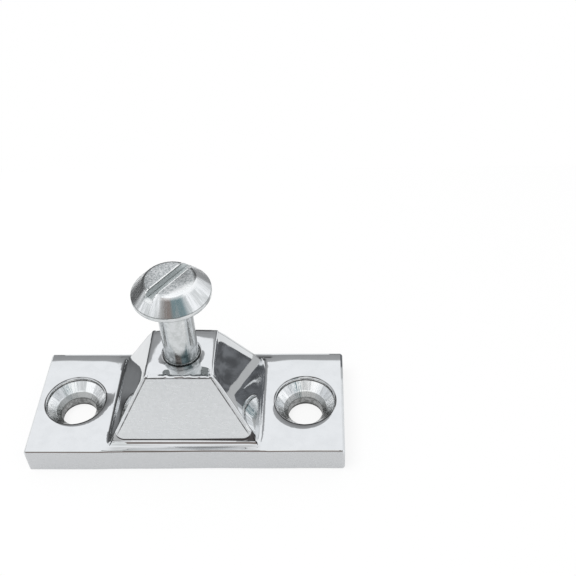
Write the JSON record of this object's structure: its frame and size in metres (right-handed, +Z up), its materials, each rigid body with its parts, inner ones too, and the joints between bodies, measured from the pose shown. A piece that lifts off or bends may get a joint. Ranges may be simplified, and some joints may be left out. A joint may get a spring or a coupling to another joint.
{
  "type": "deck hinge",
  "caption": "Cast stainless deck hinge: an oblong plate with countersunk screw holes and a pyramid boss that holds a slotted pivot screw for the eye end of a canopy frame.",
  "frame": {"origin": "middle of the base plate's underside", "axes": "+X along the plate, +Y across it, +Z up along the pivot screw's axis"},
  "size_m": [0.06, 0.025, 0.0377],
  "materials": {
    "polished_casting": "mirror-polished stainless steel",
    "turned_screw": "turned and buffed stainless steel"
  },
  "bodies": {
    "base": {"hinge_base": "polished_casting"},
    "screw": {"pivot_screw": "turned_screw"}
  },
  "joints": [
    {"name": "pivot_screw_lift", "type": "slide", "parent": "base", "child": "screw", "axis": [0, 0, 1], "range_m": [0, 0.0125]}
  ]
}
